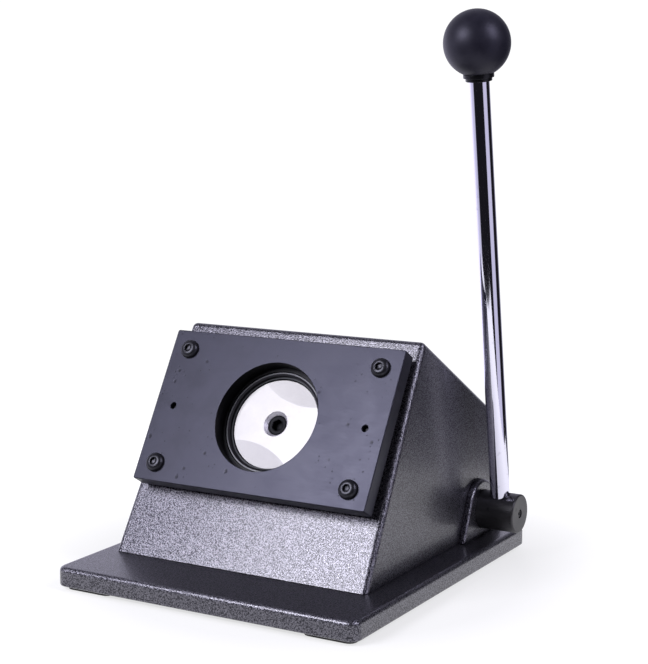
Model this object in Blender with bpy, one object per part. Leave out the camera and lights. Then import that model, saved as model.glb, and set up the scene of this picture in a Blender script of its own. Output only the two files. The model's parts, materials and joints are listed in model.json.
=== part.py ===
"""Lever-operated disc cutter for button badges, as an assembly of its separate pieces.

Frame: origin under the middle of the whole object's box, on the surface it stands on. +X runs
along the drive shaft towards the lever, +Y to the rear, +Z up. Metres throughout.

Pulling the lever forward turns the drive shaft. A cam on the shaft pushes a roller, and with it
the ram and the round punch, straight out through the sloping front, past the die's cutting ring.
"""

from math import atan2, cos, pi, radians, sin, tan, tau

import bmesh
import bpy
from mathutils import Matrix, Vector

MM = 0.001
GAP = 0.3 * MM  # left between every two pieces that touch

# Base and feet
BASE_WIDTH = 251.0 * MM
BASE_DEPTH = 277.3 * MM
BASE_THICKNESS = 14.4 * MM
BASE_CORNER = 8.0 * MM
BASE_ROUNDING = 3.5 * MM
BASE_X = -10.5 * MM  # the lever hangs over the right edge, so the plate sits left of the origin
FOOT_HEIGHT = 2.6 * MM
FOOT_SIDE = 40.0 * MM
FOOT_INSET = 5.0 * MM
BASE_BOTTOM = FOOT_HEIGHT + GAP
BASE_TOP = BASE_BOTTOM + BASE_THICKNESS

# Housing, in section across the shaft
BODY_X = BASE_X - 4.7 * MM
BODY_HALF_WIDTH = 107.7 * MM
SIDE_LEAN = radians(1.96)
FRONT_ANGLE = radians(59.38)
FRONT_LENGTH = 190.0 * MM
FRONT_FOOT_Y = -84.1 * MM
BACK_ANGLE = radians(31.0)
REAR_Y = 126.0 * MM
WALL = 5.0 * MM

# Drive shaft, bearings and lever
AXIS_Y = 97.4 * MM
AXIS_Z = 37.9 * MM
SHAFT_RADIUS = 15.0 * MM
SHAFT_RIGHT = 127.6 * MM
SHAFT_LEFT = -132.7 * MM
LUG_THICKNESS = 4.8 * MM
LUG_CROWN = 23.0 * MM
LUG_FOOT_HALF = 36.3 * MM
BUSH_RADIUS = 18.4 * MM
ROD_X = 111.7 * MM
ROD_RADIUS = 7.6 * MM
ROD_TILT = radians(8.9)
ROD_DEPTH = 7.0 * MM
KNOB_RADIUS = 24.3 * MM
KNOB_REACH = 360.3 * MM

# Punch and die, with heights measured out from the housing's sloping front
BORE_UP_SLOPE = 113.5 * MM
DIE_FACE = 17.9 * MM
DIE_BACK = 5.2 * MM
DIE_HALF_WIDTH = 99.35 * MM
DIE_HEIGHT = 121.6 * MM
DIE_RISE = 0.7 * MM
DIE_BORE = 42.4 * MM
RING_OUTER = 39.5 * MM
RING_INNER = 35.7 * MM
RING_FACE = 6.9 * MM
GUIDE_FACE = 3.4 * MM
GUIDE_INSET = 6.0 * MM
PUNCH_RADIUS = 35.0 * MM
PUNCH_FACE = 2.2 * MM
PUNCH_BACK = -13.8 * MM
SCREW_X = 82.95 * MM
SCREW_Y = 46.0 * MM

# Ram, cam and return spring
STROKE = 8.0 * MM
SWING = radians(70)
RAM_RADIUS = 16.0 * MM
RAM_SHOULDER = -93.3 * MM
RAM_END = -123.5 * MM
ROLLER_RADIUS = 11.0 * MM
CAM_BASE = 19.5 * MM
CAM_WIDTH = 16.0 * MM
GUIDE_BLOCK_END = -50.0 * MM
SPRING_WIRE = 1.6 * MM
SPRING_RADIUS = 20.5 * MM

FINE = 48  # sides of the die's and punch's round edges
ROUND = 32  # sides of a large turned piece
SMALL = 24  # sides of a small one in sight
HIDDEN = 12  # sides of a small one out of sight


def material(name, colour, roughness, metallic):
    made = bpy.data.materials.new(name)
    made.use_nodes = True
    shader = made.node_tree.nodes["Principled BSDF"]
    shader.inputs["Base Color"].default_value = (*colour, 1)
    shader.inputs["Roughness"].default_value = roughness
    shader.inputs["Metallic"].default_value = metallic
    return made


def lathe(shape, profile, sides, x=0, y=0):
    """Adds a solid turned about a line through (x, y) along Z. The profile is (radius, height) pairs
    that run out along the bottom, up the outside and in over the top, and back down the bore where
    there is one. A third number makes that ring a polygon of so many sides, the radius being its
    inscribed one."""
    rings = []
    for radius, height, *corners in profile:
        if radius == 0:
            rings.append([shape.verts.new((x, y, height))])
            continue
        ring = []
        for i in range(sides):
            angle = tau * i / sides
            reach = radius
            if corners:
                step = tau / corners[0]
                reach = radius / cos((angle + step / 2) % step - step / 2)
            ring.append(shape.verts.new((x + reach * cos(angle), y + reach * sin(angle), height)))
        rings.append(ring)
    if profile[0][0] > 0:
        rings.append(rings[0])
    for low, high in zip(rings, rings[1:]):
        for i in range(sides):
            j = (i + 1) % sides
            if len(low) == 1:
                shape.faces.new((low[0], high[j], high[i]))
            elif len(high) == 1:
                shape.faces.new((low[i], low[j], high[0]))
            else:
                shape.faces.new((low[i], low[j], high[j], high[i]))


def turned(profile, sides=ROUND):
    shape = bmesh.new()
    lathe(shape, profile, sides)
    return shape


def rod(radius, low, high):
    """The profile of a plain cylinder."""
    return [(0, low), (radius, low), (radius, high), (0, high)]


def tube(outer, inner, low, high):
    """The profile of a plain ring."""
    return [(outer, low), (outer, high), (inner, high), (inner, low)]


def prism(outline, low, high):
    """An outline in X and Y, given anticlockwise, carried from one height to another."""
    shape = bmesh.new()
    floor = shape.faces.new([shape.verts.new((x, y, low)) for x, y in outline])
    grown = bmesh.ops.extrude_face_region(shape, geom=[floor])
    top = [v for v in grown["geom"] if isinstance(v, bmesh.types.BMVert)]
    bmesh.ops.translate(shape, verts=top, vec=(0, 0, high - low))
    bmesh.ops.recalc_face_normals(shape, faces=shape.faces)
    return shape


def box(size, centre):
    shape = bmesh.new()
    bmesh.ops.create_cube(shape, size=1, matrix=Matrix.LocRotScale(centre, None, size))
    return shape


def arc(centre, radius, start, end, steps):
    """Points of a round stretch of an outline, its two ends among them. Angles in radians."""
    turns = [start + (end - start) * i / steps for i in range(steps + 1)]
    return [(centre[0] + radius * cos(a), centre[1] + radius * sin(a)) for a in turns]


def rounded_rectangle(width, depth, radius, steps=4):
    outline = []
    for quarter, (side_x, side_y) in enumerate(((1, 1), (-1, 1), (-1, -1), (1, -1))):
        centre = (side_x * (width / 2 - radius), side_y * (depth / 2 - radius))
        outline += arc(centre, radius, quarter * pi / 2, (quarter + 1) * pi / 2, steps)
    return outline


def frame(name, location, rotation=(0, 0, 0), parent=None):
    """An empty that its pieces are parented to: a sloping face, or the line a piece moves about."""
    empty = bpy.data.objects.new(name, None)
    bpy.context.collection.objects.link(empty)
    empty.location = location
    empty.rotation_euler = rotation
    empty.parent = parent
    empty.empty_display_size = 20 * MM
    return empty


def piece(name, shape, finish, parent=None, location=(0, 0, 0), rotation=(0, 0, 0), rounding=0, steps=2):
    """A named solid. Its sharp edges are rounded when a rounding is given."""
    mesh = bpy.data.meshes.new(name)
    shape.to_mesh(mesh)
    shape.free()
    if finish:
        mesh.materials.append(finish)
    mesh.shade_smooth()
    mesh.set_sharp_from_angle(angle=radians(30))
    made = bpy.data.objects.new(name, mesh)
    bpy.context.collection.objects.link(made)
    made.parent = parent
    made.location = location
    made.rotation_euler = rotation
    if rounding:
        bevel = made.modifiers.new("rounding", "BEVEL")
        bevel.width = rounding
        bevel.segments = steps
        bevel.limit_method = "ANGLE"
        bevel.angle_limit = radians(40)
    return made


def combine(made, shape, name, operation="DIFFERENCE", location=(0, 0, 0), rotation=(0, 0, 0), parent=None):
    """Cuts a shape from a piece, or joins it on. The shape stays behind as a hidden guide."""
    tool = piece(f"{made.name}_{name}", shape, None, parent or made.parent, location, rotation)
    tool.hide_render = True
    tool.display_type = "WIRE"
    change = made.modifiers.new(name, "BOOLEAN")
    change.operation = operation
    change.object = tool


def drill(made, holes, name="holes", sides=SMALL, rotation=(0, 0, 0), location=(0, 0, 0), parent=None):
    """Cuts turned holes, each given as (x, y, profile), in one go."""
    shape = bmesh.new()
    for x, y, profile in holes:
        lathe(shape, profile, sides, x, y)
    combine(made, shape, name, "DIFFERENCE", location, rotation, parent)


def lean_sides(shape):
    """Slides each end inwards with height, so that the housing narrows evenly to its ridge."""
    for vertex in shape.verts:
        inwards = (vertex.co.z - BASE_TOP) * tan(SIDE_LEAN)
        vertex.co.x -= inwards if vertex.co.x > 0 else -inwards


def section_plate(outline, left, right):
    """A plate across the housing: an outline in Y and Z carried along X, its ends leaning in."""
    shape = prism(outline, left, right)
    shape.transform(Matrix(((0, 0, 1, 0), (1, 0, 0, 0), (0, 1, 0, 0), (0, 0, 0, 1))))
    lean_sides(shape)
    return shape


def inset(outline, distance):
    """The outline moved inwards by a distance, each corner to where its two moved sides cross."""
    moved = []
    for before, corner, after in zip(outline[-1:] + outline[:-1], outline, outline[1:] + outline[:1]):
        sides = []
        for start, end in ((before, corner), (corner, after)):
            along = (Vector(end) - Vector(start)).normalized()
            sides.append((Vector(start) + distance * Vector((-along.y, along.x)), along))
        (first, run), (second, turn) = sides
        reach = (second - first).cross(turn) / run.cross(turn)
        moved.append(tuple(first + reach * run))
    return moved


def housing_section():
    """Corners of the housing in Y and Z, anticlockwise: rear foot, rear top, ridge, front foot."""
    foot = BASE_TOP + GAP
    ridge = (
        FRONT_FOOT_Y + FRONT_LENGTH * cos(FRONT_ANGLE),
        BASE_TOP + FRONT_LENGTH * sin(FRONT_ANGLE),
    )
    front_y = FRONT_FOOT_Y + GAP / tan(FRONT_ANGLE)
    rear_z = ridge[1] - (REAR_Y - ridge[0]) * tan(BACK_ANGLE)
    return [(REAR_Y, foot), (REAR_Y, rear_z), ridge, (front_y, foot)]


def socket_screw(head, height, shank, length, flats, crown, sides=HIDDEN, steps=2):
    """A screw along Z, its head sitting on height 0. The crown is how far its rim drops below the
    top: nearly the whole height on a button head, little on a cap head."""
    depth = 0.55 * height
    top = max(flats * 0.72, head - 1.8 * crown)
    profile = [(0, -length), (shank, -length), (shank, 0), (head, 0)]
    for i in range(steps + 1):
        turn = pi / 2 * i / steps
        profile.append((top + (head - top) * cos(turn), height - crown * (1 - sin(turn))))
    profile += [(flats / 2, height, 6), (flats / 2, height - depth, 6), (0, height - depth)]
    return turned(profile, sides)


def cam_outline(steps=60):
    """The cam about its shaft, anticlockwise. The roller's centre is to stand at CAM_BASE plus the
    roller's radius plus the gap, plus a rise in even proportion to the turn. The cam's edge is that
    path moved in, square to itself, by the roller's radius and the gap. Past the working rise the
    path falls back to its start in a smooth half wave."""
    start = CAM_BASE + ROLLER_RADIUS + GAP
    work_end = SWING + radians(5)
    fall_end = radians(140)
    ram_way = FRONT_ANGLE + pi / 2

    def path(turn):
        rise = STROKE * turn / SWING
        if turn < 0 or turn > fall_end:
            rise = 0
        elif turn > work_end:
            fallen = (turn - work_end) / (fall_end - work_end)
            rise = STROKE * work_end / SWING * (1 + cos(pi * fallen)) / 2
        # The working rise runs clockwise from the way the ram moves.
        angle = ram_way - turn
        return Vector(((start + rise) * cos(angle), (start + rise) * sin(angle)))

    outline = []
    for i in range(steps):
        turn = tau * i / steps
        along = (path(turn + 0.001) - path(turn - 0.001)).normalized()
        inwards = Vector((along.y, -along.x))
        if inwards.dot(path(turn)) > 0:
            inwards = -inwards
        outline.append(tuple(path(turn) + inwards * (ROLLER_RADIUS + GAP)))
    return outline[::-1]


def coil(radius, wire, length, turns, sides=6, steps=14):
    """A compression spring along Z from height 0, its end turns wound close."""
    shape = bmesh.new()
    close = 2 * wire + 0.5 * MM
    open_pitch = (length - 2 * wire - 2 * close) / (turns - 2)
    rings = []
    for i in range(int(turns * steps) + 1):
        turn = i / steps
        height = wire + close * min(turn, 1) + open_pitch * min(max(turn - 1, 0), turns - 2)
        height += close * max(turn - (turns - 1), 0)
        out = Vector((cos(tau * turn), sin(tau * turn), 0))
        ring = []
        for j in range(sides):
            angle = tau * j / sides
            spot = out * (radius + wire * cos(angle)) + Vector((0, 0, height + wire * sin(angle)))
            ring.append(shape.verts.new(spot))
        rings.append(ring)
    for low, high in zip(rings, rings[1:]):
        for j in range(sides):
            k = (j + 1) % sides
            shape.faces.new((low[j], high[j], high[k], low[k]))
    shape.faces.new(rings[0])
    shape.faces.new(rings[-1][::-1])
    bmesh.ops.recalc_face_normals(shape, faces=shape.faces)
    return shape


def clear_scene():
    for old in list(bpy.data.objects):
        bpy.data.objects.remove(old, do_unlink=True)


def make_finishes():
    return {
        "hammertone": material("hammertone", (0.25, 0.25, 0.28), 0.45, 0.4),
        "black": material("blackened_steel", (0.03, 0.03, 0.035), 0.4, 0.6),
        "steel": material("ground_steel", (0.75, 0.75, 0.76), 0.25, 1.0),
        "chrome": material("chrome", (0.85, 0.85, 0.88), 0.08, 1.0),
        "bronze": material("bronze", (0.6, 0.42, 0.22), 0.35, 1.0),
        "knob": material("black_plastic", (0.02, 0.02, 0.022), 0.35, 0.0),
        "rubber": material("rubber", (0.015, 0.015, 0.015), 0.85, 0.0),
        "spring": material("spring_steel", (0.35, 0.35, 0.37), 0.35, 1.0),
    }


def make_base(finish):
    base = piece(
        "base_plate",
        prism(rounded_rectangle(BASE_WIDTH, BASE_DEPTH, BASE_CORNER), 0, BASE_THICKNESS),
        finish["hammertone"],
        location=(BASE_X, 0, BASE_BOTTOM),
        rounding=BASE_ROUNDING,
    )
    head_room = [(0, -1 * MM), (7 * MM, -1 * MM), (7 * MM, 8.7 * MM), (4.4 * MM, 8.7 * MM)]
    head_room += [(4.4 * MM, 16 * MM), (0, 16 * MM)]
    places = bolt_places()
    drill(base, [(x, y, head_room) for x, y in places], sides=HIDDEN, location=(0, 0, BASE_BOTTOM))
    for name, (x, y) in zip(("front_left", "front_right", "rear_left", "rear_right"), places):
        bolt = socket_screw(6.5 * MM, 8 * MM, 4 * MM, 22 * MM, 6 * MM, 0.8 * MM)
        piece(
            f"base_bolt_{name}", bolt, finish["black"], None, (x, y, BASE_BOTTOM + 8.4 * MM), (pi, 0, 0)
        )
    foot_x = BASE_WIDTH / 2 - FOOT_INSET - FOOT_SIDE / 2
    foot_y = BASE_DEPTH / 2 - FOOT_INSET - FOOT_SIDE / 2
    for row, y in (("front", -foot_y), ("rear", foot_y)):
        for side, x in (("left", -foot_x), ("right", foot_x)):
            pad = prism(rounded_rectangle(FOOT_SIDE, FOOT_SIDE, 6 * MM, 4), 0, FOOT_HEIGHT)
            piece(f"foot_{row}_{side}", pad, finish["rubber"], None, (BASE_X + x, y, 0))


def bolt_places():
    """Where the housing is bolted to the base, seen from above."""
    return [(BODY_X + x, y) for y in (-42 * MM, 42 * MM) for x in (-90 * MM, 90 * MM)]


def moved(point, run, rise):
    return (point[0] + run, point[1] + rise)


def make_housing(finish, shaft_line, punch_line):
    """Five welded plates: the sloping front, the sloping top, the rear and two leaning sides."""
    rear_foot, rear_top, ridge, front_foot = housing_section()
    rear_foot_in, rear_top_in, ridge_in, front_foot_in = inset(housing_section(), WALL)
    foot = BASE_TOP + GAP
    front_foot_in = (front_foot_in[0] - (front_foot_in[1] - foot) / tan(FRONT_ANGLE), foot)
    rear_foot_in = (rear_foot_in[0], foot)
    # Neighbouring plates each give up half a gap at their shared corner.
    down = (-cos(FRONT_ANGLE) * GAP / 2, -sin(FRONT_ANGLE) * GAP / 2)
    back = (cos(BACK_ANGLE) * GAP / 2, -sin(BACK_ANGLE) * GAP / 2)
    ahead = (-back[0], -back[1])
    sections = {
        "front_plate": [moved(ridge, *down), front_foot, front_foot_in, moved(ridge_in, *down)],
        "top_plate": [
            moved(rear_top, *ahead),
            moved(ridge, *back),
            moved(ridge_in, *back),
            moved(rear_top_in, *ahead),
        ],
        "rear_plate": [
            rear_foot,
            moved(rear_top, 0, -GAP / 2),
            moved(rear_top_in, 0, -GAP / 2),
            rear_foot_in,
        ],
    }
    plates = {}
    for name, outline in sections.items():
        shape = section_plate(outline, -BODY_HALF_WIDTH, BODY_HALF_WIDTH)
        plates[name] = piece(name, shape, finish["hammertone"], location=(BODY_X, 0, 0))
    front = plates["front_plate"]
    deep, proud = -9 * MM, 2 * MM
    holes = [(x, y, rod(4.4 * MM, deep, proud)) for x, y in die_screw_places()]
    holes += [(x, y, rod(3.4 * MM, deep, proud)) for x, y in guide_screw_places()]
    holes += [(x, 0, rod(2.6 * MM, deep, proud)) for x in (-SCREW_X, SCREW_X)]
    drill(front, holes, "screw_holes", HIDDEN, parent=punch_line)
    opening = rod(PUNCH_RADIUS + 1.3 * MM, deep, proud)
    drill(front, [(0, 0, opening)], "punch_opening", FINE, parent=punch_line)
    cheek = inset(housing_section(), WALL + GAP)
    cheek[0] = (cheek[0][0], foot)
    cheek[3] = (cheek[3][0] - (cheek[3][1] - foot) / tan(FRONT_ANGLE), foot)
    for side, low, high in (
        ("left", -BODY_HALF_WIDTH, WALL - BODY_HALF_WIDTH),
        ("right", BODY_HALF_WIDTH - WALL, BODY_HALF_WIDTH),
    ):
        shape = section_plate(cheek, low, high)
        plate = piece(f"side_plate_{side}", shape, finish["hammertone"], location=(BODY_X, 0, 0))
        hole = rod(BUSH_RADIUS + GAP, low - 9 * MM, high + 9 * MM)
        drill(plate, [(0, 0, hole)], "bush_hole", ROUND, (0, pi / 2, 0), parent=shaft_line)


def make_foot_bars(finish):
    """Bars inside the housing that the bolts from under the base screw into."""
    for side, sign in (("left", -1), ("right", 1)):
        bar = piece(
            f"foot_bar_{side}",
            box((20 * MM, 116 * MM, 20 * MM), (BODY_X + sign * 90 * MM, 0, BASE_TOP + GAP + 10 * MM)),
            finish["steel"],
            rounding=0.8 * MM,
            steps=1,
        )
        holes = [(x, y, rod(4.4 * MM, -1 * MM, 16 * MM)) for x, y in bolt_places()]
        holes = [hole for hole in holes if (hole[0] - BODY_X) * sign > 0]
        drill(bar, holes, sides=HIDDEN, location=(0, 0, BASE_TOP))


def make_bearings(finish, shaft_line):
    """A cheek on each outer side of the housing, and behind it a flanged bush in the side plate."""
    foot = BASE_TOP + GAP
    start = radians(152.8)
    crown = arc((AXIS_Y, AXIS_Z), LUG_CROWN, pi - start, start, 12)
    outline = [(AXIS_Y - LUG_FOOT_HALF, foot), (AXIS_Y + LUG_FOOT_HALF, foot)] + crown
    for side, sign in (("left", -1), ("right", 1)):
        near = sign * (BODY_HALF_WIDTH + GAP)
        far = near + sign * LUG_THICKNESS
        lug = piece(
            f"bearing_cheek_{side}",
            section_plate(outline, min(near, far), max(near, far)),
            finish["hammertone"],
            location=(BODY_X, 0, 0),
            rounding=0.8 * MM,
            steps=1,
        )
        bore = SHAFT_RADIUS + GAP
        spin = (0, sign * pi / 2, 0)
        drill(lug, [(0, 0, rod(bore, 80 * MM, 125 * MM))], "shaft_hole", ROUND, spin, parent=shaft_line)
        flange = 100.2 * MM
        outer_end = flange + WALL + 0.8 * MM
        sleeve = [
            (BUSH_RADIUS + 1.8 * MM, flange - 2 * MM),
            (BUSH_RADIUS + 1.8 * MM, flange),
            (BUSH_RADIUS, flange),
            (BUSH_RADIUS, outer_end),
            (bore, outer_end),
            (bore, flange - 2 * MM),
        ]
        piece(f"shaft_bush_{side}", turned(sleeve), finish["bronze"], shaft_line, rotation=spin)


def make_shaft(finish, shaft_line):
    """The drive shaft, the rings that hold it endways and the key that turns the cam."""
    across = (0, pi / 2, 0)
    chamfer = 1.2 * MM
    left = SHAFT_LEFT - BODY_X
    right = SHAFT_RIGHT - BODY_X
    body = [(0, left), (SHAFT_RADIUS - chamfer, left), (SHAFT_RADIUS, left + chamfer)]
    groove = -112.9 * MM
    body += [(SHAFT_RADIUS, groove - 1.8 * MM), (SHAFT_RADIUS - 1.5 * MM, groove - 1.8 * MM)]
    body += [(SHAFT_RADIUS - 1.5 * MM, groove), (SHAFT_RADIUS, groove)]
    body += [(SHAFT_RADIUS, right - chamfer), (SHAFT_RADIUS - chamfer, right), (0, right)]
    shaft = piece("drive_shaft", turned(body), finish["black"], shaft_line, rotation=across)
    rod_x = ROD_X - BODY_X
    socket = rod(ROD_RADIUS + GAP, -ROD_DEPTH - 1 * MM, 30 * MM)
    drill(shaft, [(0, 0, socket)], "lever_hole", ROUND, (ROD_TILT, 0, 0), (rod_x, 0, 0))
    thread = rod(3.4 * MM, rod_x, right + 2 * MM)
    drill(shaft, [(0, 0, thread)], "clamp_screw_hole", SMALL, across)
    key_top = SHAFT_RADIUS + 2.2 * MM
    slot = box((16 * MM, 5.6 * MM, 6 * MM), (0, 0, key_top - 5.3 * MM + 3 * MM))
    combine(shaft, slot, "keyway")
    key = box((15 * MM, 5 * MM, 5 * MM), (0, 0, key_top - 2.5 * MM))
    piece("cam_key", key, finish["steel"], shaft_line, rounding=0.4 * MM, steps=1)
    clip = tube(SHAFT_RADIUS + 3.2 * MM, SHAFT_RADIUS - 1.2 * MM, groove - 1.5 * MM, groove - 0.3 * MM)
    piece("shaft_clip_left", turned(clip), finish["spring"], shaft_line, rotation=across)
    collar_x = 87 * MM
    band = tube(SHAFT_RADIUS + 5 * MM, SHAFT_RADIUS + GAP, collar_x, collar_x + 10 * MM)
    collar = piece("shaft_collar", turned(band), finish["black"], shaft_line, rotation=across)
    tapped = rod(2.8 * MM, SHAFT_RADIUS - 1 * MM, SHAFT_RADIUS + 9 * MM)
    drill(collar, [(collar_x + 5 * MM, 0, tapped)], "tapped_hole", HIDDEN)
    grub = socket_screw(2.5 * MM, 5.6 * MM, 1.2 * MM, 0.2 * MM, 2.5 * MM, 0.4 * MM)
    grub_place = (collar_x + 5 * MM, 0, SHAFT_RADIUS + 0.7 * MM)
    piece("collar_grub_screw", grub, finish["black"], shaft_line, grub_place)
    clamp = socket_screw(3 * MM, 5.5 * MM, 1.5 * MM, 0.6 * MM, 3 * MM, 0.5 * MM, SMALL)
    clamp_place = (right - 6.2 * MM, 0, 0)
    piece("lever_clamp_screw", clamp, finish["black"], shaft_line, clamp_place, across)


def make_cam(finish, shaft_line):
    turn = (0, pi / 2, 0)
    shape = prism(cam_outline(), -CAM_WIDTH / 2, CAM_WIDTH / 2)
    shape.transform(Matrix(((0, 0, 1, 0), (1, 0, 0, 0), (0, 1, 0, 0), (0, 0, 0, 1))))
    cam = piece("cam", shape, finish["steel"], shaft_line)
    through = rod(SHAFT_RADIUS + GAP, -CAM_WIDTH, CAM_WIDTH)
    drill(cam, [(0, 0, through)], "shaft_hole", ROUND, turn)
    slot = box((CAM_WIDTH * 2, 5.6 * MM, 8 * MM), (0, 0, SHAFT_RADIUS - 1.5 * MM))
    combine(cam, slot, "keyway")


def make_lever(finish, shaft_line):
    """The bright rod, its collar and the ball knob, along a line that tilts forward at rest."""
    line = frame("lever_line", (ROD_X - BODY_X, 0, 0), (ROD_TILT, 0, 0), shaft_line)
    collar_low = KNOB_REACH - 27.0 * MM
    collar_step = KNOB_REACH - 24.5 * MM
    collar_top = KNOB_REACH - 21.6 * MM
    spigot = 6.0 * MM
    spigot_top = KNOB_REACH - 2 * MM
    profile = [(0, -ROD_DEPTH), (ROD_RADIUS - 0.8 * MM, -ROD_DEPTH), (ROD_RADIUS, 0.8 * MM - ROD_DEPTH)]
    profile += [(ROD_RADIUS, collar_top), (spigot, collar_top), (spigot, spigot_top), (0, spigot_top)]
    piece("lever_rod", turned(profile), finish["chrome"], line)
    bore = ROD_RADIUS + GAP
    collar = [(9.65 * MM, collar_low), (9.65 * MM, collar_step), (11.2 * MM, collar_step)]
    collar += [(11.2 * MM, collar_top), (bore, collar_top), (bore, collar_low)]
    piece("knob_collar", turned(collar), finish["black"], line)
    flat = collar_top + GAP
    start = -pi / 2 + atan2(11.4 * MM, KNOB_REACH - flat)
    ball = [(11.4 * MM, flat)]
    rings = 6
    turns = [start * (1 - i / rings) for i in range(1, rings)]
    turns += [pi / 2 * i / rings for i in range(rings)]
    ball += [(KNOB_RADIUS * cos(turn), KNOB_REACH + KNOB_RADIUS * sin(turn)) for turn in turns]
    hole = spigot + GAP
    ball += [(0, KNOB_REACH + KNOB_RADIUS)]
    floor = [(0, spigot_top + GAP), (hole, spigot_top + GAP), (hole, flat)]
    piece("ball_knob", turned(floor + ball), finish["knob"], line)


def die_screw_places():
    return [(x, y) for y in (-SCREW_Y, SCREW_Y) for x in (-SCREW_X, SCREW_X)]


def guide_screw_places():
    return [(x, y) for y in (-40 * MM, 40 * MM) for x in (-40 * MM, 40 * MM)]


def make_die(finish, punch_line):
    """The die plate with its cutting ring, the guide plate behind the card slot, and their fixings."""
    raised = (0, DIE_RISE, 0)
    die = piece(
        "die_plate",
        prism(rounded_rectangle(2 * DIE_HALF_WIDTH, DIE_HEIGHT, 1.5 * MM, 2), DIE_BACK, DIE_FACE),
        finish["black"],
        punch_line,
        raised,
        rounding=0.6 * MM,
        steps=1,
    )
    pocket = RING_FACE + 0.4 * MM
    bore = [(0, 0), (RING_OUTER + GAP, 0), (RING_OUTER + GAP, pocket), (DIE_BORE, pocket)]
    bore += [(DIE_BORE, 30 * MM), (0, 30 * MM)]
    drill(die, [(0, 0, bore)], "bore", FINE, parent=punch_line)
    holes = [(x, y, rod(4.4 * MM, 0, 30 * MM)) for x, y in die_screw_places()]
    holes += [(x, 0, rod(2.5 * MM, 0, 30 * MM)) for x in (-SCREW_X, SCREW_X)]
    drill(die, holes, "screw_holes", 16, parent=punch_line)
    edge = 0.5 * MM
    ring = [(RING_OUTER, DIE_BACK), (RING_OUTER, RING_FACE), (RING_INNER + edge, RING_FACE)]
    ring += [(RING_INNER, RING_FACE - edge), (RING_INNER, DIE_BACK)]
    piece("cutting_ring", turned(ring, FINE), finish["steel"], punch_line)
    width = 2 * (DIE_HALF_WIDTH - GUIDE_INSET)
    guide = piece(
        "guide_plate",
        prism(rounded_rectangle(width, DIE_HEIGHT - 2 * GUIDE_INSET, 2 * MM, 2), GAP, GUIDE_FACE),
        finish["black"],
        punch_line,
        raised,
    )
    drill(guide, [(0, 0, rod(PUNCH_RADIUS + 0.5 * MM, -5 * MM, 9 * MM))], "bore", FINE)
    through = [(x, y, rod(4.4 * MM, -5 * MM, 9 * MM)) for x, y in die_screw_places()]
    through += [(x, 0, rod(2.6 * MM, -5 * MM, 9 * MM)) for x in (-SCREW_X, SCREW_X)]
    drill(guide, through, "screw_holes", HIDDEN)
    names = ("lower_left", "lower_right", "upper_left", "upper_right")
    for name, (x, y) in zip(names, die_screw_places()):
        washer = turned(tube(9 * MM, 4.4 * MM, GUIDE_FACE + GAP, DIE_BACK - GAP), HIDDEN)
        piece(f"slot_spacer_{name}", washer, finish["steel"], punch_line, (x, y, 0))
        screw = socket_screw(7.3 * MM, 4.4 * MM, 4 * MM, 22.4 * MM, 5 * MM, 3.4 * MM, SMALL, 3)
        piece(f"die_screw_{name}", screw, finish["black"], punch_line, (x, y, DIE_FACE + GAP))
    for side, x in (("left", -SCREW_X), ("right", SCREW_X)):
        pin = [(0, -4.5 * MM), (1.7 * MM, -4.5 * MM), (2.2 * MM, -4 * MM)]
        pin += [(2.2 * MM, 13.4 * MM), (1.7 * MM, 13.9 * MM), (0, 13.9 * MM)]
        piece(f"dowel_pin_{side}", turned(pin, HIDDEN), finish["steel"], punch_line, (x, 0, 0))


def make_ram_guide(finish, punch_line):
    """The block behind the front plate that the ram slides in, and its four screws."""
    flange_back = -17 * MM
    block = piece(
        "ram_guide",
        prism(rounded_rectangle(98 * MM, 98 * MM, 5 * MM, 2), flange_back, -WALL - GAP),
        finish["black"],
        punch_line,
    )
    barrel = turned(rod(25 * MM, GUIDE_BLOCK_END, flange_back + 1 * MM))
    combine(block, barrel, "barrel", "UNION")
    recess = PUNCH_BACK - 0.8 * MM
    bore = [(0, -60 * MM), (RAM_RADIUS + GAP, -60 * MM), (RAM_RADIUS + GAP, recess)]
    bore += [(PUNCH_RADIUS + 1.3 * MM, recess), (PUNCH_RADIUS + 1.3 * MM, 0), (0, 0)]
    drill(block, [(0, 0, bore)], "bore", ROUND)
    holes = [(x, y, rod(3.4 * MM, -30 * MM, 0)) for x, y in guide_screw_places()]
    drill(block, holes, "screw_holes", HIDDEN)
    names = ("lower_left", "lower_right", "upper_left", "upper_right")
    for name, (x, y) in zip(names, guide_screw_places()):
        screw = socket_screw(5 * MM, 6 * MM, 3 * MM, 16.4 * MM, 5 * MM, 0.6 * MM)
        piece(
            f"guide_screw_{name}", screw, finish["black"], punch_line, (x, y, flange_back - GAP), (pi, 0, 0)
        )


def roller_place():
    """(up the slope, out from it) of the roller's centre, seen from the punch line's origin. The
    roller stands on the line through the shaft that runs the way the ram moves."""
    hole_y = FRONT_FOOT_Y + BORE_UP_SLOPE * cos(FRONT_ANGLE)
    hole_z = BASE_TOP + BORE_UP_SLOPE * sin(FRONT_ANGLE)
    away = Vector((AXIS_Y - hole_y, AXIS_Z - hole_z))
    up = away.dot(Vector((cos(FRONT_ANGLE), sin(FRONT_ANGLE))))
    out = away.dot(Vector((-sin(FRONT_ANGLE), cos(FRONT_ANGLE))))
    return up, out + CAM_BASE + ROLLER_RADIUS + GAP


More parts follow.
